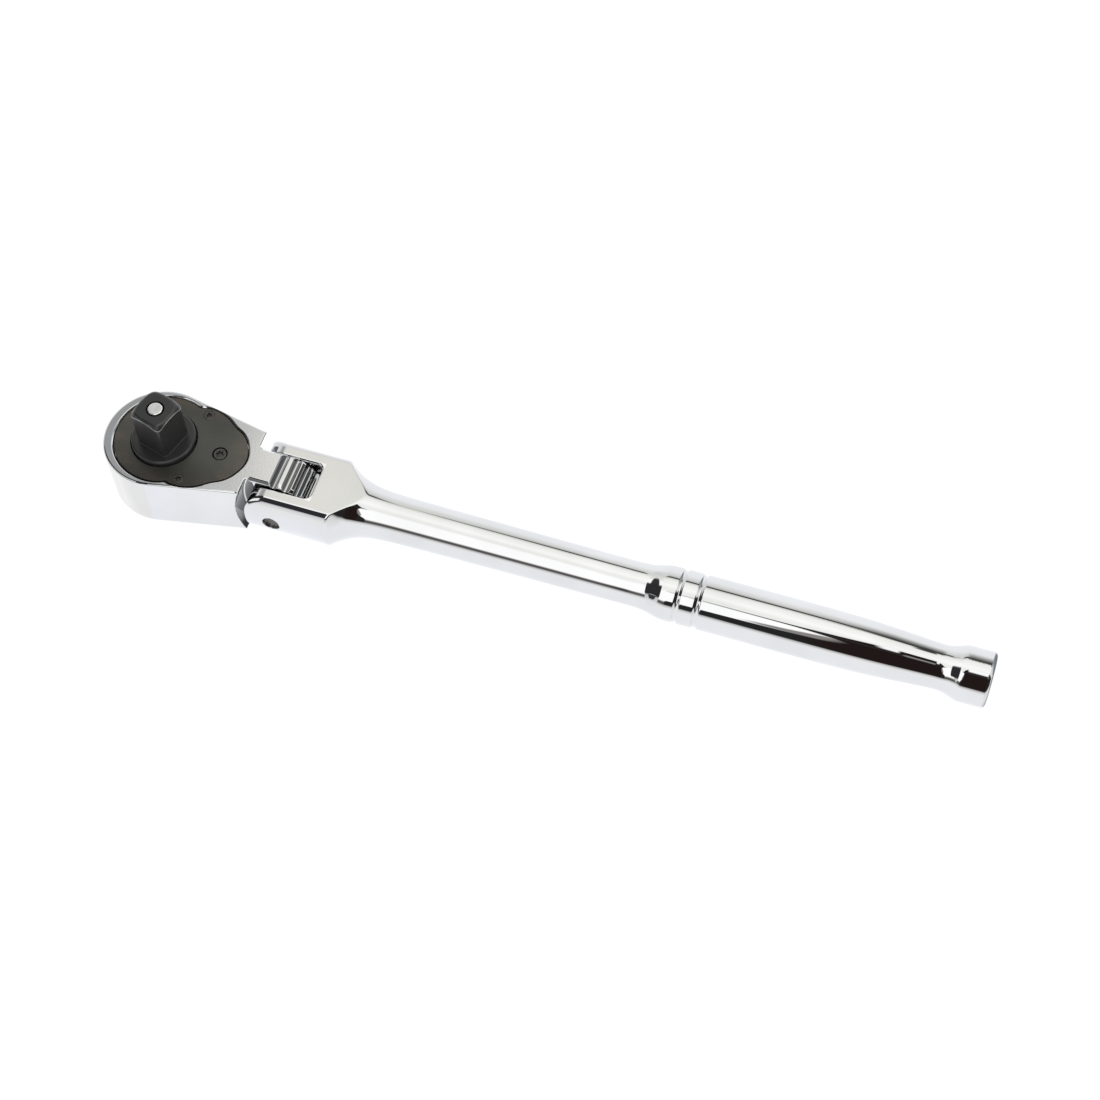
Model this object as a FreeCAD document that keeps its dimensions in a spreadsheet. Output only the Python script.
import FreeCAD, Part
import os, math
import Sketcher

V = FreeCAD.Vector
# Flex-head ratchet wrench, 12.7 mm square drive.
# Origin: drive axis crossing the handle's middle plane. +X runs from the drive
# axis to the handle's knob, +Z out of the head on the square-drive side.
doc = FreeCAD.newDocument("ratchet_wrench")
sheet = doc.addObject("Spreadsheet::Sheet", "Dims")
DIMS = [
    # head housing
    ("head_half", 11.25), ("head_cx", -1.5), ("head_rad", 19.15), ("shoulder_x", 32.2), ("shoulder_y", 12.9),
    ("shoulder_rad", 30.0), ("rim_round", 0.8), ("pocket_floor", 9.05), ("pocket_gap", 0.25), ("pocket_chamfer", 0.55),
    ("gear_cavity_rad", 14.6), ("cavity_floor", -7.0), ("pawl_cavity_x", 16.5), ("pawl_cavity_rad", 11.2),
    ("hub_bore_rad", 8.05), ("tang_half", 6.58), ("pivot_x", 43.0), ("tang_rad", 11.25), ("tang_edge", 1.0),
    ("tooth_pitch_deg", 22.5), ("tooth_phase_deg", -5.5), ("tooth_depth", 1.7), ("tooth_gap_tip", 3.1), ("tooth_gap_root", 1.0),
    ("pin_rad", 2.99), ("pin_half", 13.7), ("tang_bore_rad", 3.04),
    # cover and screws
    ("cover_rad", 16.85), ("cover_thick", 1.95), ("cover_top", 11.05), ("cover_bore_rad", 11.35), ("screw_x", 10.84), ("screw_y", 13.32),
    ("screw_head_rad", 1.75), ("screw_rad", 1.2), ("screw_len", 6.5), ("spindle_x", 20.26), ("cover_spindle_rad", 2.75),
    # drive gear
    ("gear_teeth", 72), ("gear_tip_rad", 14.2), ("gear_root_rad", 13.4), ("gear_low", -6.4), ("gear_top", 8.6),
    ("collar_rad", 10.81), ("collar_top", 12.7), ("collar_round", 0.9), ("square_side", 12.7), ("square_top", 28.52),
    ("square_corner", 1.25), ("square_lead", 0.55), ("square_turn", -16.3), ("hub_rad", 8.0), ("hub_low", -11.15),
    ("drive_bore_rad", 2.75), ("ball_z", 20.0), ("ball_rad", 2.2), ("ball_seat", 4.74), ("ball_hole_rad", 2.25),
    ("spring_bore_rad", 3.95), ("spring_bore_top", 1.0), ("button_bore_rad", 4.8), ("button_bore_top", -5.4),
    ("washer_in", 8.6), ("washer_out", 13.0), ("washer_thick", 0.5), ("ring_in", 11.7), ("ring_out", 13.6), ("ring_thick", 0.3),
    # quick release
    ("release_rad", 2.52), ("release_neck", 1.69), ("release_stem", 1.9), ("release_top", 28.6), ("button_rad", 4.7),
    ("button_low", -13.4), ("button_top", -8.7), ("release_stroke", 2.5),
    # pawl and lever
    ("pawl_low", -6.2), ("pawl_high", 8.4), ("pawl_bore_rad", 3.06), ("pawl_swing_deg", 7.0), ("spindle_rad", 3.0),
    ("spindle_bore_rad", 3.06), ("seal_bore_rad", 4.25), ("seal_ring", 3.65), ("seal_wire", 0.55), ("seal_z", -10.5), ("lever_hub_rad", 6.3),
    ("lever_low", -15.0), ("lever_high", -11.45), ("lever_len", 10.2), ("lever_rest_deg", -35.0), ("detent_dist", 5.2),
    ("detent_rad", 0.8), ("detent_z", -11.0),
    # handle
    ("fork_rad", 14.8), ("fork_flat", 9.54), ("fork_edge", 2.0), ("fork_end", 62.7), ("slot_half", 6.9), ("slot_end", 54.6),
    ("slot_corner", 2.3), ("ear_bore_rad", 3.0), ("groove_a", 180.9), ("groove_b", 187.4), ("groove_width", 1.6), ("groove_depth", 0.45),
    ("knob_end", 283.5), ("knob_rad", 9.5), ("knob_round", 1.0),
    # flex lock
    ("lock_half", 3.5), ("lock_low", -5.2), ("lock_high", 3.2), ("lock_back", 61.8), ("lock_stroke", 2.2), ("lock_cav_end", 62.1),
    ("lock_tip_rad", 9.95), ("lock_front_rad", 11.4), ("button_x_low", 60.0), ("button_x_high", 67.6), ("button_half", 4.6),
    ("slide_x_low", 58.8), ("slide_x_high", 61.4), ("slide_half", 1.9), ("lock_spring_rad", 1.9), ("lock_spring_end", 68.0),
    ("lock_wire", 0.55), ("pivot_washer_rad", 5.4), ("pivot_washer_thick", 0.24),
]
for i, (k, v) in enumerate(DIMS):
    sheet.set("A%d" % (i + 1), k)
    sheet.set("B%d" % (i + 1), repr(float(v)) if k != "gear_teeth" else "72")
    sheet.setAlias("B%d" % (i + 1), k)
doc.recompute()
D = {k: float(sheet.get(k)) for k, v in DIMS}
nodes = []
tmp = [0]


def nm(base):
    tmp[0] += 1
    return "%s_%d" % (base, tmp[0])


def ex(obj, prop, e):
    # bind a size to the sheet: words that are aliases become Dims.alias
    import re
    s = re.sub(r"[A-Za-z_]+", lambda m: "Dims." + m.group(0) if m.group(0) in D else m.group(0), str(e))
    obj.setExpression(prop, s)


def cyl(r, length, x="0", y="0", z="0", ax="Z"):
    o = doc.addObject("Part::Cylinder", nm("Cyl"))
    ex(o, "Radius", r); ex(o, "Height", length)
    if ax == "X":
        o.Placement = FreeCAD.Placement(V(0, 0, 0), FreeCAD.Rotation(V(0, 1, 0), 90))
    elif ax == "Y":
        o.Placement = FreeCAD.Placement(V(0, 0, 0), FreeCAD.Rotation(V(1, 0, 0), -90))
    ex(o, "Placement.Base.x", x); ex(o, "Placement.Base.y", y); ex(o, "Placement.Base.z", z)
    return o


def cone(r1, r2, length, z="0"):
    o = doc.addObject("Part::Cone", nm("Cone"))
    ex(o, "Radius1", r1); ex(o, "Radius2", r2); ex(o, "Height", length); ex(o, "Placement.Base.z", z)
    return o


def box(x0, x1, y0, y1, z0, z1):
    o = doc.addObject("Part::Box", nm("Box"))
    ex(o, "Length", "(%s)-(%s)" % (x1, x0)); ex(o, "Width", "(%s)-(%s)" % (y1, y0)); ex(o, "Height", "(%s)-(%s)" % (z1, z0))
    ex(o, "Placement.Base.x", x0); ex(o, "Placement.Base.y", y0); ex(o, "Placement.Base.z", z0)
    return o


def feat(shape, base="Shape"):
    o = doc.addObject("Part::Feature", nm(base))
    o.Shape = shape
    return o


def cut(a, *bs):
    for b in bs:
        o = doc.addObject("Part::Cut", nm("Cut")); o.Base = a; o.Tool = b; a = o
    return a


def fuse(*objs):
    o = doc.addObject("Part::MultiFuse", nm("Fuse")); o.Shapes = list(objs)
    return o


def common(a, b):
    o = doc.addObject("Part::MultiCommon", nm("Common")); o.Shapes = [a, b]
    return o


def node(o, label):
    o.Label = label
    nodes.append(o)
    return o


def pad_body(label, circles, length, plane="XY_Plane", at=None):
    # a round plate or pin: one sketch of concentric circles, padded
    body = doc.addObject("PartDesign::Body", nm("Body"))
    sk = body.newObject("Sketcher::SketchObject", nm("Sketch"))
    pl = [f for f in body.Origin.OriginFeatures if f.Role == plane][0]
    sk.AttachmentSupport = [(pl, "")]
    sk.MapMode = "FlatFace"
    for r in circles:
        g = sk.addGeometry(Part.Circle(V(0, 0, 0), V(0, 0, 1), 5.0), False)
        sk.addConstraint(Sketcher.Constraint("Coincident", g, 3, -1, 1))
        c = sk.addConstraint(Sketcher.Constraint("Radius", g, 5.0))
        ex(sk, "Constraints[%d]" % c, r)
    doc.recompute()
    pad = body.newObject("PartDesign::Pad", nm("Pad"))
    pad.Profile = sk
    ex(pad, "Length", length)
    body.Tip = pad
    if at:
        body.Placement = at
    body.Label = label
    return body


def face(pts):
    return Part.Face(Part.makePolygon(list(pts) + [pts[0]]))


def coil(radius, wire, z0, z1, turns):
    # round-wire compression spring standing on Z, ends cut flat
    height = z1 - z0
    pitch = (height - 2 * wire) / turns
    h = Part.makeHelix(pitch, height - 2 * wire, radius)
    h.translate(V(0, 0, z0 + wire))
    circ = Part.Wire([Part.makeCircle(wire, V(radius, 0, z0 + wire), V(0, 1, 0))])
    s = Part.Wire(h.Edges).makePipeShell([circ], True, True)
    if s.Volume < 0:
        s.reverse()
    return s


# ------------------------------------------------------------------ drive gear
def gear_face(tip, root, extra=0.0):
    n = int(D["gear_teeth"]); pts = []
    for i in range(n):
        a = 2 * math.pi * i / n
        p = 2 * math.pi / n
        for da, r in ((-0.5 * p, root + extra), (-0.06 * p - extra / tip, tip + extra), (0.06 * p + extra / tip, tip + extra)):
            pts.append(V(r * math.cos(a + da), r * math.sin(a + da), 0))
    return face(pts)


gear_len = D["gear_top"] - D["gear_low"]
gear_blank = gear_face(D["gear_tip_rad"], D["gear_root_rad"]).extrude(V(0, 0, gear_len))
gear_blank.translate(V(0, 0, D["gear_low"]))
toothed = feat(gear_blank, "GearTeeth")
collar = cyl("collar_rad", "collar_top-gear_top+1", z="gear_top-1")
collar_f = doc.addObject("Part::Fillet", nm("CollarRound")); collar_f.Base = collar
doc.recompute()
top_edge = [i + 1 for i, e in enumerate(collar.Shape.Edges) if e.BoundBox.ZMin > D["collar_top"] - 0.01 and e.BoundBox.XLength > 1]
collar_f.Edges = [(i, D["collar_round"], D["collar_round"]) for i in top_edge]
square = box("-square_side/2", "square_side/2", "-square_side/2", "square_side/2", "collar_top-1", "square_top")
sq_ch = doc.addObject("Part::Chamfer", nm("SquareCorners")); sq_ch.Base = square
doc.recompute()
sq_ch.Edges = [(i + 1, D["square_corner"], D["square_corner"]) for i, e in enumerate(square.Shape.Edges) if e.BoundBox.ZLength > 5]
doc.recompute()
sq_lead = doc.addObject("Part::Chamfer", nm("SquareLead")); sq_lead.Base = sq_ch
sq_lead.Edges = [(i + 1, D["square_lead"], D["square_lead"]) for i, e in enumerate(sq_ch.Shape.Edges) if e.BoundBox.ZMin > D["square_top"] - 0.01]
doc.recompute()
hub = cyl("hub_rad", "gear_low-hub_low+1", z="hub_low")
gear_solid = fuse(toothed, collar_f, sq_lead, hub)
bore = cyl("drive_bore_rad", "square_top-hub_low+4", z="hub_low-2")
spring_bore = cyl("spring_bore_rad", "spring_bore_top-hub_low+2", z="hub_low-2")
button_bore = cyl("button_bore_rad", "button_bore_top-hub_low+2", z="hub_low-2")
# radial ball hole with a narrowed mouth, square on to one side face
bh = Part.makeCylinder(D["ball_hole_rad"], 5.6, V(0, 0, D["ball_z"]), V(0, 1, 0))
bm = Part.makeCone(D["ball_hole_rad"], 1.72, 0.8, V(0, 5.59, D["ball_z"]), V(0, 1, 0))
ball_hole = feat(bh.fuse(bm), "BallHole")
drive = cut(gear_solid, bore, spring_bore, button_bore, ball_hole)
drive.Placement = FreeCAD.Placement(V(0, 0, 0), FreeCAD.Rotation(V(0, 0, 1), 0))
doc.recompute()
# the teeth stay on the head's centre line while the square stands turned on them
for o in (sq_lead, ball_hole):
    pass
square.Placement = FreeCAD.Placement(V(0, 0, 0), FreeCAD.Rotation(V(0, 0, 1), 0))
turn = FreeCAD.Rotation(V(0, 0, 1), D["square_turn"])
gear_shape = gear_blank.fuse([collar_f.Shape, hub.Shape])
sq_shape = sq_lead.Shape.copy(); sq_shape.rotate(V(0, 0, 0), V(0, 0, 1), D["square_turn"])
bh_shape = ball_hole.Shape.copy(); bh_shape.rotate(V(0, 0, 0), V(0, 0, 1), D["square_turn"])
sq_turned = feat(sq_shape, "SquareTurned")
bh_turned = feat(bh_shape, "BallHoleTurned")
drive_gear = node(cut(fuse(toothed, collar_f, sq_turned, hub), bore, spring_bore, button_bore, bh_turned), "drive_gear")
doc.removeObject(drive.Name)

node(pad_body("gear_washer", ["washer_in", "washer_out"], "washer_thick", at=FreeCAD.Placement(V(0, 0, D["cavity_floor"] + 0.04), FreeCAD.Rotation())), "gear_washer")
node(pad_body("gear_ring", ["ring_in", "ring_out"], "ring_thick", at=FreeCAD.Placement(V(0, 0, D["gear_top"] + 0.07), FreeCAD.Rotation())), "gear_ring")

# ------------------------------------------------------------------ quick release
rt = "release_top"
release = fuse(cyl("release_rad", "release_top-20.5", z="20.5"),
               cone("release_neck", "release_rad", "3.2", z="17.3"),
               cyl("release_neck", "2.4", z="15"),
               cyl("release_stem", "15.1-button_top+3.2", z="button_top-3.2"))
doc.recompute()
rel_f = doc.addObject("Part::Chamfer", nm("PinEnd")); rel_f.Base = release
rel_f.Edges = [(i + 1, 0.3, 0.3) for i, e in enumerate(release.Shape.Edges) if e.BoundBox.ZMin > D["release_top"] - 0.01 and e.BoundBox.XLength > 1]
node(rel_f, "release_pin")
btn = cyl("button_rad", "button_top-button_low", z="button_low")
doc.recompute()
btn_f = doc.addObject("Part::Fillet", nm("ButtonRound")); btn_f.Base = btn
btn_f.Edges = [(i + 1, 1.0, 1.0) for i, e in enumerate(btn.Shape.Edges) if e.BoundBox.ZMax < D["button_low"] + 0.01 and e.BoundBox.XLength > 1]
node(cut(btn_f, cyl("release_stem+0.03", "4", z="button_top-3.25")), "release_button")
node(feat(coil(3.1, 0.4, D["button_top"] + 0.05, D["spring_bore_top"] - 0.05, 6.0), "ReleaseSpring"), "release_spring")
bdir = V(-math.sin(math.radians(D["square_turn"])), math.cos(math.radians(D["square_turn"])), 0)
ball = doc.addObject("Part::Sphere", nm("Ball")); ex(ball, "Radius", "ball_rad")
ex(ball, "Placement.Base.x", "-ball_seat*sin(square_turn*1deg)"); ex(ball, "Placement.Base.y", "ball_seat*cos(square_turn*1deg)")
ex(ball, "Placement.Base.z", "ball_z")
node(ball, "socket_ball")

# ------------------------------------------------------------------ cover plate
half = [(9.0, 15.75), (11.3, 15.9), (14.0, 15.45), (16.5, 14.5), (18.5, 13.4), (20.3, 12.1), (22.0, 10.95), (23.6, 10.15),
        (25.2, 9.1), (27.0, 7.2), (28.5, 4.6), (29.4, 2.3), (29.7, 0.0)]


def cover_wire(gap):
    R = D["cover_rad"] + gap
    a0 = math.acos(3.0 / D["cover_rad"])
    p0 = V(R * math.cos(a0), R * math.sin(a0), 0)
    q0 = V(p0.x, -p0.y, 0)
    arc = Part.Arc(p0, V(-R, 0, 0), q0).toShape()
    cusp = (6.75, 15.2 + gap)

    def off(pts):
        out = []
        for i, p in enumerate(pts):
            a = pts[max(i - 1, 0)]; b = pts[min(i + 1, len(pts) - 1)]
            tx, ty = b[0] - a[0], b[1] - a[1]
            L = math.hypot(tx, ty)
            out.append((p[0] - ty / L * -gap, p[1] + tx / L * gap) if False else (p[0] - ty / L * gap * -1 * -1, p[1] + tx / L * gap))
        return out
    body = off(half[:-1]) + [(29.7 + gap, 0.0)]
    up = [cusp] + body
    lob = [V(x, y, 0) for x, y in up] + [V(x, -y, 0) for x, y in reversed(up[:-1])]
    s1 = Part.BSplineCurve(); s1.interpolate(lob)
    n1 = Part.BSplineCurve(); n1.interpolate([p0, V(5.1, 15.98 + gap, 0), V(cusp[0], cusp[1], 0)])
    n2 = Part.BSplineCurve(); n2.interpolate([V(cusp[0], -cusp[1], 0), V(5.1, -15.98 - gap, 0), q0])
    return Part.Wire(Part.__sortEdges__([arc, n1.toShape(), s1.toShape(), n2.toShape()]))


cw = cover_wire(0.0)
cover_blank = Part.Face(cw).extrude(V(0, 0, D["cover_thick"]))
cover_blank.translate(V(0, 0, D["cover_top"] - D["cover_thick"]))
cb = feat(cover_blank, "CoverBlank")
csk = []
for sgn in ("", "-"):
    csk.append(cyl("screw_rad+0.2", "6", x="screw_x", y=sgn + "screw_y", z="cover_top-4"))
    csk.append(cyl("screw_head_rad+0.12", "3", x="screw_x", y=sgn + "screw_y", z="cover_top-1.2"))
node(cut(cb, cyl("cover_bore_rad", "6", z="cover_top-4"), cyl("cover_spindle_rad", "6", x="spindle_x", z="cover_top-4"), *csk), "cover_plate")
scr = []
for sgn in ("", "-"):
    head = cyl("screw_head_rad", "1.1", x="screw_x", y=sgn + "screw_y", z="cover_top-1.15")
    shank = cyl("screw_rad", "screw_len", x="screw_x", y=sgn + "screw_y", z="cover_top-1-screw_len")
    rec = cyl("0.75", "1", x="screw_x", y=sgn + "screw_y", z="cover_top-0.7")
    scr.append(cut(fuse(head, shank), rec))
cs = doc.addObject("Part::Compound", nm("CoverScrews")); cs.Links = scr
node(cs, "cover_screws")

# ------------------------------------------------------------------ head housing
HH = D["head_half"]
cx, hr = D["head_cx"], D["head_rad"]
sx, sy = D["shoulder_x"], D["shoulder_y"]
dd = math.hypot(sx - cx, sy)
ta = math.atan2(sy, sx - cx) + math.acos(hr / dd)
t1 = V(cx + hr * math.cos(ta), hr * math.sin(ta), 0)
arc = Part.Arc(t1, V(cx - hr, 0, 0), V(t1.x, -t1.y, 0)).toShape()
pear = Part.Face(Part.Wire([arc, Part.makeLine(V(t1.x, -t1.y, 0), V(sx + 6, -sy - 6 * (t1.y - sy) / (t1.x - sx), 0)),
                            Part.makeLine(V(sx + 6, -sy - 6 * (t1.y - sy) / (t1.x - sx), 0), V(sx + 6, sy + 6 * (t1.y - sy) / (t1.x - sx), 0)),
                            Part.makeLine(V(sx + 6, sy + 6 * (t1.y - sy) / (t1.x - sx), 0), t1)])).extrude(V(0, 0, 2 * HH))
pear.translate(V(0, 0, -HH))
pe = [e for e in pear.Edges if e.BoundBox.ZLength < 0.01 and e.BoundBox.XMin < sx + 3]
pear = pear.makeFillet(D["rim_round"], pe)
# hollow shoulder: a wide cylinder across the head behind the tang
scx = sx + math.sqrt(D["shoulder_rad"] ** 2 - HH ** 2)
shoulder = Part.makeCylinder(D["shoulder_rad"], 60, V(scx, -30, 0), V(0, 1, 0))
pear = pear.cut(shoulder)
tp = D["tang_rad"]; px = D["pivot_x"]; th = D["tang_half"]
tang = Part.makeBox(px - 24, 2 * th, 2 * HH, V(24, -th, -HH)).fuse(Part.makeCylinder(tp, 2 * th, V(px, -th, 0), V(0, 1, 0))).removeSplitter()
# the tang's long edges are broken so they pass the rounded corners of the fork's slot
tang = tang.makeChamfer(D["tang_edge"], [e for e in tang.Edges if e.BoundBox.YLength < 0.01 and e.BoundBox.XMax > 24.5])


def tooth_gap(k, grow=0.0):
    # one trapezoid gap standing on the +Z spoke of the tang, turned to its place about the pivot
    w1 = D["tooth_gap_tip"] / 2; w0 = D["tooth_gap_root"] / 2; d = D["tooth_depth"]
    sl = (w1 - w0) / d
    r0, r1 = tp - d, tp + 3.2
    f = face([V(-w0 - grow, 0, r0), V(w0 + grow, 0, r0), V(w0 + sl * (r1 - r0) + grow, 0, r1), V(-w0 - sl * (r1 - r0) - grow, 0, r1)])
    g = f.extrude(V(0, 4 * th, 0)); g.translate(V(0, -2 * th, 0))
    a = D["tooth_phase_deg"] + D["tooth_pitch_deg"] * k
    g.rotate(V(0, 0, 0), V(0, 1, 0), a)
    g.translate(V(px, 0, 0))
    return g


gaps = [tooth_gap(k) for k in range(10)]
tang = tang.cut(Part.makeCompound(gaps[1:9]))
tang = tang.cut(gaps[0]).cut(gaps[9])
tang_solid = tang.copy()
blank = pear.fuse(tang).removeSplitter()
cav = Part.makeCylinder(D["gear_cavity_rad"], 30, V(0, 0, D["cavity_floor"]))
cav = cav.fuse(Part.makeCylinder(D["pawl_cavity_rad"], 30, V(D["pawl_cavity_x"], 0, D["cavity_floor"])))
pocket = Part.Face(cover_wire(D["pocket_gap"])).extrude(V(0, 0, 10)); pocket.translate(V(0, 0, D["pocket_floor"]))
hb = feat(blank, "HeadBlank")
hcuts = [feat(cav, "HeadCavity"), feat(pocket, "CoverPocket"),
         cyl("hub_bore_rad", "20", z="-head_half-2"),
         cyl("spindle_bore_rad", "20", x="spindle_x", z="-head_half-2"),
         cyl("seal_bore_rad", "head_half-9.85+1", x="spindle_x", z="-head_half-1"),
         cyl("detent_rad+0.06", "head_half-7.8+1", x="spindle_x+detent_dist", z="-head_half-1"),
         cyl("tang_bore_rad", "40", x="pivot_x", y="-20", ax="Y"),
         cyl("screw_rad+0.03", "20", x="screw_x", y="screw_y", z="cover_top-1-screw_len-0.6"),
         cyl("screw_rad+0.03", "20", x="screw_x", y="-screw_y", z="cover_top-1-screw_len-0.6")]
housing = cut(hb, *hcuts)
doc.recompute()
# bright bevel round the mouth of the cover pocket
try:
    s = housing.Shape
    want = [i + 1 for i, e in enumerate(s.Edges) if abs(e.BoundBox.ZMin - HH) < 0.01 and abs(e.BoundBox.ZMax - HH) < 0.01
            and e.BoundBox.XMax < 30.4 and e.BoundBox.XMin > -17.6 and max(abs(e.BoundBox.YMin), abs(e.BoundBox.YMax)) < 17.5]
    ch = s.makeChamfer(D["pocket_chamfer"] * 0.7, [s.Edges[i - 1] for i in want])
    if ch.isValid() and len(ch.Solids) == 1 and ch.Volume < s.Volume:
        hc = doc.addObject("Part::Chamfer", nm("PocketBevel")); hc.Base = housing
        hc.Edges = [(i, D["pocket_chamfer"] * 0.7, D["pocket_chamfer"] * 0.7) for i in want]
        housing = hc
except Exception as err:
    print("pocket bevel left off:", err)
node(housing, "head_housing")

# ------------------------------------------------------------------ pawl
sxp = D["spindle_x"]
swing = D["pawl_swing_deg"]
outline = [(24.6, -3.2), (24.6, 3.2), (19.6, 8.1), (15.0, 9.7), (12.6, 9.2), (10.4, 7.4), (10.4, -7.4), (12.6, -9.2), (15.0, -9.7), (19.6, -8.1)]
pl = D["pawl_high"] - D["pawl_low"]
pb = face([V(x, y, 0) for x, y in outline]).extrude(V(0, 0, pl))
ggrow = gear_face(D["gear_tip_rad"], D["gear_root_rad"], 0.05).extrude(V(0, 0, pl))
C = V(sxp, 0, 0)


def wedge(a0, a1):
    pts = [V(0, 0, 0)] + [V(30 * math.cos(math.radians(a)), 30 * math.sin(math.radians(a)), 0) for a in (a0, (a0 + a1) / 2, a1)]
    return face(pts).extrude(V(0, 0, pl))


def engaged_cut(sign):
    # the toothed end as it meets the gear, taken back to the pawl's middle position
    g = ggrow.common(wedge(22, 60) if sign > 0 else wedge(-60, -22))
    g.rotate(C, V(0, 0, 1), -sign * swing / 2)
    return g


pw = pb.cut(Part.makeCylinder(15.15, pl).common(wedge(-23.5, 23.5)))
pw = pw.cut(engaged_cut(1)).cut(engaged_cut(-1))
pw = pw.cut(Part.makeCylinder(D["pawl_bore_rad"], pl, C))
pw = max(pw.Solids, key=lambda q: q.Volume)
pw.rotate(C, V(0, 0, 1), swing / 2)
pw.translate(V(0, 0, D["pawl_low"]))
node(feat(pw, "Pawl"), "pawl")

# ------------------------------------------------------------------ reversing lever
lh = D["lever_high"] - D["lever_low"]
w = 3.6
Lr = D["lever_len"]
lev = Part.makeCylinder(D["lever_hub_rad"], lh)
p = [V(0, D["lever_hub_rad"] - 0.1, 0), V(Lr - w + 0.8, w, 0), V(Lr - w + 0.8, -w, 0), V(0, -D["lever_hub_rad"] + 0.1, 0)]
lev = lev.fuse(face(p).extrude(V(0, 0, lh))).fuse(Part.makeCylinder(w, lh, V(Lr - w + 0.8, 0, 0)))
lev = lev.removeSplitter()
lev = lev.makeFillet(0.9, [e for e in lev.Edges if e.BoundBox.ZMax < 0.01])
for i in range(4):
    lev = lev.cut(Part.makeCylinder(0.45, 12, V(5.6 + 1.6 * i, -6, -0.12), V(0, 1, 0)))
lev.translate(V(sxp, 0, D["lever_low"]))
tor = Part.makeTorus(D["detent_dist"], D["detent_rad"] + 0.12, V(sxp, 0, D["detent_z"]))
lev = lev.cut(tor)
lev.rotate(C, V(0, 0, 1), D["lever_rest_deg"])
lv = feat(lev, "LeverArm")
spindle = cyl("spindle_rad", "9.0-lever_high+0.5", x="spindle_x", z="lever_high-0.5")
neck = cyl("2.6", "0.7", x="spindle_x", z="8.95")
tap = cyl("1.5", "9", x="spindle_x", z="1.5")
node(cut(fuse(lv, spindle, neck), tap), "reverse_lever")
sh = cyl("2.35", "1.25", x="spindle_x", z="9.7")
ss = cyl("1.47", "7.7", x="spindle_x", z="2.05")
hexa = Part.Face(Part.makePolygon([V(1.25 * (1 if i % 2 else 0.72) * math.cos(math.pi * i / 6), 1.25 * (1 if i % 2 else 0.72) * math.sin(math.pi * i / 6), 0) for i in range(13)])).extrude(V(0, 0, 2))
hexa.translate(V(sxp, 0, 9.95))
node(cut(fuse(sh, ss), feat(hexa, "StarRecess")), "lever_screw")
seal = doc.addObject("Part::Torus", nm("Seal")); ex(seal, "Radius1", "seal_ring"); ex(seal, "Radius2", "seal_wire")
ex(seal, "Placement.Base.x", "spindle_x"); ex(seal, "Placement.Base.z", "seal_z")
node(seal, "lever_seal")
db = doc.addObject("Part::Sphere", nm("Detent")); ex(db, "Radius", "detent_rad")
ex(db, "Placement.Base.x", "spindle_x+detent_dist"); ex(db, "Placement.Base.z", "detent_z")
node(db, "detent_ball")
dsp = coil(0.54, 0.17, D["detent_z"] + D["detent_rad"] + 0.03, -7.85, 3.5)
dsp.translate(V(sxp + D["detent_dist"], 0, 0))
node(feat(dsp, "DetentSpring"), "detent_spring")

# ------------------------------------------------------------------ handle
R, F, rc = D["fork_rad"], D["fork_flat"], D["fork_edge"]
cy = math.sqrt((R - rc) ** 2 - (F - rc) ** 2)
k = R / (R - rc)
ty, tz = cy * k, (F - rc) * k
ang = math.atan2(F - rc, cy)
mid = (math.pi / 2 + ang) / 2


def sec(y, z, x=30.0):
    return V(x, y, z)


edges = []
for sgy in (1, -1):
    for sgz in (1, -1):
        edges.append(Part.Arc(sec(sgy * cy, sgz * F), sec(sgy * (cy + rc * math.cos(mid)), sgz * (F - rc + rc * math.sin(mid))), sec(sgy * ty, sgz * tz)).toShape())
    edges.append(Part.Arc(sec(sgy * ty, tz), sec(sgy * R, 0), sec(sgy * ty, -tz)).toShape())
for sgz in (1, -1):
    edges.append(Part.makeLine(sec(-cy, sgz * F), sec(cy, sgz * F)))
fork = Part.Face(Part.Wire(Part.__sortEdges__(edges))).extrude(V(D["fork_end"] - 30.0 + 0.0, 0, 0))
ear_nose = Part.makeCylinder(F, 40, V(px, -20, 0), V(0, 1, 0)).fuse(Part.makeBox(40, 40, 2 * F + 2, V(px, -20, -F - 1)))
fork = fork.common(ear_nose)
prof = [(62.7, 14.8), (63.6, 14.1), (65.0, 12.95), (66.4, 12.05), (67.7, 11.3), (69.1, 10.65), (70.4, 10.15), (71.8, 9.66), (73.2, 9.3),
        (74.6, 9.03), (76.0, 8.82), (78.7, 8.57), (82.5, 8.34), (92.0, 8.2), (103.0, 8.1), (123.2, 7.94), (143.3, 7.81), (158.0, 7.69), (166.5, 7.64),
        (169.1, 7.85), (170.4, 8.04), (171.8, 8.36), (173.1, 8.75), (174.4, 9.09), (175.9, 9.29), (177.8, 9.38), (181.5, 9.4), (195.9, 9.4), (215.3, 9.39),
        (228.0, 9.36), (234.5, 9.28), (243.9, 8.99), (249.0, 8.72), (252.8, 8.46), (256.5, 8.2), (260.3, 7.93), (264.1, 7.69), (266.6, 7.6), (267.9, 7.6),
        (269.2, 7.83), (270.4, 8.2), (271.7, 8.68), (272.9, 9.15), (274.2, 9.44), (275.6, 9.5)]
spl = Part.BSplineCurve(); spl.interpolate([V(x, 0, r) for x, r in prof])
xe, kr, kf = D["knob_end"], D["knob_rad"], D["knob_round"]
kedges = [Part.makeLine(V(62.7, 0, 0), V(62.7, 0, 14.8)), spl.toShape(), Part.makeLine(V(275.6, 0, kr), V(xe - kf, 0, kr)),
          Part.Arc(V(xe - kf, 0, kr), V(xe - kf + kf * math.sin(math.pi / 4), 0, kr - kf + kf * math.cos(math.pi / 4)), V(xe, 0, kr - kf)).toShape(),
          Part.makeLine(V(xe, 0, kr - kf), V(xe, 0, 0)), Part.makeLine(V(xe, 0, 0), V(62.7, 0, 0))]
shank_wire = feat(Part.Wire(kedges), "ShankProfile")
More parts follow.
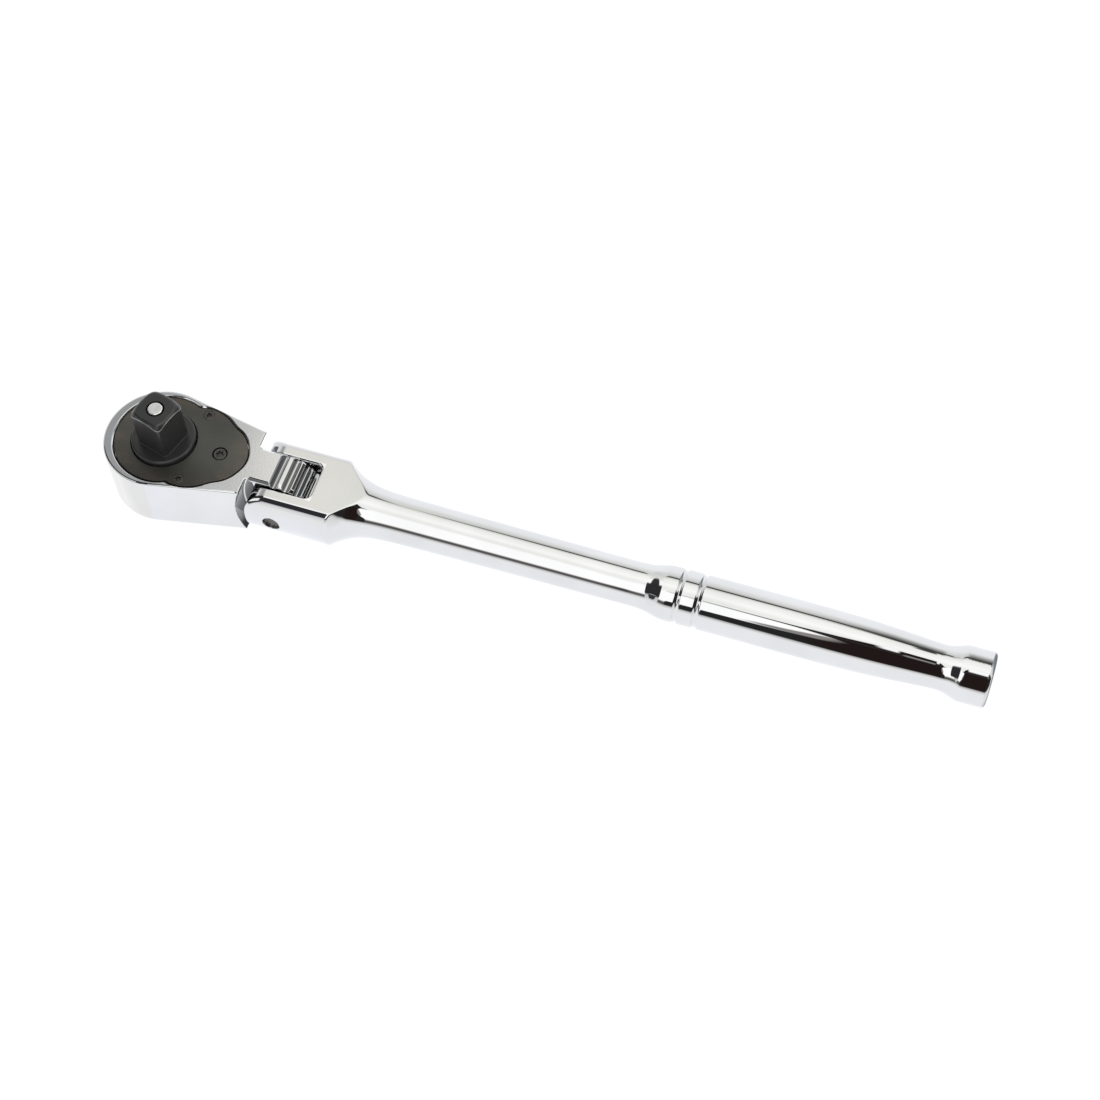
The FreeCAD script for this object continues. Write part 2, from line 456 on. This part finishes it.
rev = doc.addObject("Part::Revolution", "Shank"); rev.Source = shank_wire; rev.Axis = V(1, 0, 0); rev.Base = V(0, 0, 0); rev.Angle = 360; rev.Solid = True
doc.recompute()
flats = fuse(box("60", "80", "-20", "20", "fork_flat", "fork_flat+12"), box("60", "80", "-20", "20", "-fork_flat-12", "-fork_flat"))
grooves = []
for g in ("groove_a", "groove_b"):
    ring = cut(cyl("knob_rad+2", "groove_width", x=g + "-groove_width/2", ax="X"), cyl("9.4-groove_depth", "groove_width+2", x=g + "-groove_width/2-1", ax="X"))
    grooves.append(ring)
shank = cut(rev, flats, *grooves)
slot = Part.makeBox(D["slot_end"] - 20, 2 * D["slot_half"], 40, V(20, -D["slot_half"], -20))
slot = slot.makeFillet(D["slot_corner"], [e for e in slot.Edges if e.BoundBox.ZLength > 30 and e.BoundBox.XMin > 40])
fk = cut(feat(fork, "ForkBlock"), feat(slot, "ForkSlot"))
hsolid = fuse(fk, shank)
hcuts = [cyl("ear_bore_rad", "40", x="pivot_x", y="-20", ax="Y"),
         box("50", "lock_cav_end", "-lock_half-0.06", "lock_half+0.06", "lock_low-0.06", "lock_high+0.06"),
         cyl("lock_spring_rad+0.25", "lock_spring_end-lock_cav_end+1", x="lock_cav_end-1", z="(lock_low+lock_high)/2", ax="X"),
         box("slide_x_low-lock_stroke-0.1", "slide_x_high+0.1", "-slide_half-0.06", "slide_half+0.06", "-20", "lock_low+1")]
node(cut(hsolid, *hcuts), "handle")

node(pad_body("pivot_pin", ["pin_rad"], "2*pin_half", plane="XZ_Plane"), "pivot_pin")
doc.recompute()
pp = nodes[-1]
pp.Placement = FreeCAD.Placement(V(px, 0, 0), FreeCAD.Rotation())
doc.recompute()
bb = pp.Shape.BoundBox
pp.Placement = FreeCAD.Placement(V(px, -(bb.YMin + bb.YMax) / 2, 0), FreeCAD.Rotation())
ws = []
for sg in ("tang_half+0.04", "-tang_half-0.04-pivot_washer_thick"):
    ws.append(cut(cyl("pivot_washer_rad", "pivot_washer_thick", x="pivot_x", y=sg, ax="Y"),
                  cyl("pin_rad+0.05", "pivot_washer_thick+2", x="pivot_x", y=sg + "-1", ax="Y")))
wc = doc.addObject("Part::Compound", nm("Washers")); wc.Links = ws
node(wc, "pivot_washers")

# ------------------------------------------------------------------ flex lock
lk = Part.makeBox(D["lock_back"] - 48, 2 * D["lock_half"], D["lock_high"] - D["lock_low"], V(48 - D["lock_stroke"], -D["lock_half"], D["lock_low"]))
lk = lk.cut(Part.makeCylinder(D["lock_tip_rad"], 40, V(px, -20, 0), V(0, 1, 0)))
grown = Part.makeBox(px - 24, 4 * th, 2 * HH + 0.2, V(24, -2 * th, -HH - 0.1)).fuse(Part.makeCylinder(tp + 0.1, 4 * th, V(px, -2 * th, 0), V(0, 1, 0)))
grown = grown.cut(Part.makeCompound([tooth_gap(q, -0.1) for q in range(1, 9)]))
grown = grown.cut(tooth_gap(0, -0.1)).cut(tooth_gap(9, -0.1))
for stp in range(-4, 5):
    g = grown.copy(); g.rotate(V(px, 0, 0), V(0, 1, 0), 22.5 * stp)
    lk = lk.cut(g)
lk = max(lk.Solids, key=lambda q: q.Volume)
lk.translate(V(D["lock_stroke"], 0, 0))
lk = lk.cut(Part.makeBox(D["slide_x_high"] - D["slide_x_low"], 2 * D["slide_half"], 2.2, V(D["slide_x_low"], -D["slide_half"], D["lock_low"] - 0.2)))
node(feat(lk, "LockBlock"), "lock_block")
plate = Part.makeBox(D["button_x_high"] - D["button_x_low"], 2 * D["button_half"], 1.9, V(D["button_x_low"], -D["button_half"], -F - 2.0))
plate = plate.makeFillet(1.6, [e for e in plate.Edges if e.BoundBox.ZLength > 1])
plate = plate.makeFillet(0.5, [e for e in plate.Edges if e.BoundBox.ZMax < -F - 1.99])
for i in range(4):
    plate = plate.cut(Part.makeCylinder(0.4, 12, V(61.5 + 1.5 * i, -6, -F - 2.1), V(0, 1, 0)))
foot = Part.makeBox(D["slide_x_high"] - D["slide_x_low"] - 0.1, 2 * D["slide_half"] - 0.1, F - 0.15 + D["lock_low"] + 1.5, V(D["slide_x_low"] + 0.05, -D["slide_half"] + 0.05, -F + 0.0 - 0.15))
bridge = Part.makeBox(D["button_x_low"] + 2 - D["slide_x_low"], 2 * D["slide_half"] - 0.1, 0.9, V(D["slide_x_low"] + 0.05, -D["slide_half"] + 0.05, -F - 1.0))
lb = plate.fuse(foot).fuse(bridge).removeSplitter()
node(feat(lb, "LockButton"), "lock_button")
lsp = coil(D["lock_spring_rad"] - D["lock_wire"] / 2 - 0.15, D["lock_wire"] / 2, 0, D["lock_spring_end"] - D["lock_back"] - 0.1, 5.0)
lsp.rotate(V(0, 0, 0), V(0, 1, 0), 90)
lsp.translate(V(D["lock_back"] + 0.05, 0, (D["lock_low"] + D["lock_high"]) / 2))
node(feat(lsp, "LockSpring"), "lock_spring")

# ------------------------------------------------------------------ check and write
doc.recompute()
bad = []
for o in doc.Objects:
    if any(st in ("Invalid", "Error") for st in o.State):
        bad.append((o.Name, o.State))
for o in nodes:
    s = o.Shape
    if s.isNull() or not s.isValid() or not s.Solids or s.Volume <= 0:
        bad.append((o.Label, "shape"))
    print("%-16s solids %d  vol %9.2f  box %s" % (o.Label, len(s.Solids), s.Volume,
          ["%.2f" % q for q in (s.BoundBox.XMin, s.BoundBox.XMax, s.BoundBox.YMin, s.BoundBox.YMax, s.BoundBox.ZMin, s.BoundBox.ZMax)]))
if bad:
    raise RuntimeError("failed objects: %r" % bad)
os.makedirs("parts", exist_ok=True)
for f in os.listdir("parts"):
    if f.endswith(".step"):
        os.remove(os.path.join("parts", f))
for o in nodes:
    o.Shape.exportStep(os.path.join("parts", o.Label + ".step"))
print("wrote", len(nodes), "parts")
